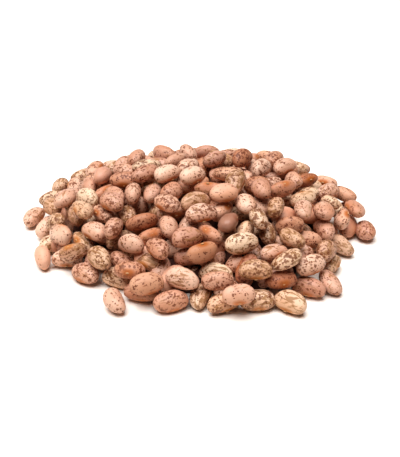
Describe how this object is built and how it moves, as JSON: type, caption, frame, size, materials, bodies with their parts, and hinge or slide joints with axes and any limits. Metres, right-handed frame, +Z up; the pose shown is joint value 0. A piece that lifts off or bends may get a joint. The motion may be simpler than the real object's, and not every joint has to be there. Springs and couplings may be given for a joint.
{
  "type": "heap of dried beans",
  "caption": "Loose low heap of dried speckled beans as it lies on a flat surface, pink-tan with brown specks, highest in the middle and thinning to single beans round its foot.",
  "frame": {"origin": "centre of the heap's footprint box, on the surface that it lies on", "axes": "+Z up, +X along the heap's longest extent, -Y towards the side that the picture shows"},
  "size_m": [0.163, 0.138, 0.0374],
  "materials": {
    "seed_coat": "satin dried seed coat, pinkish tan with brown specks and streaks"
  },
  "bodies": {
    "root": {"bean_heap": "seed_coat"}
  },
  "joints": []
}
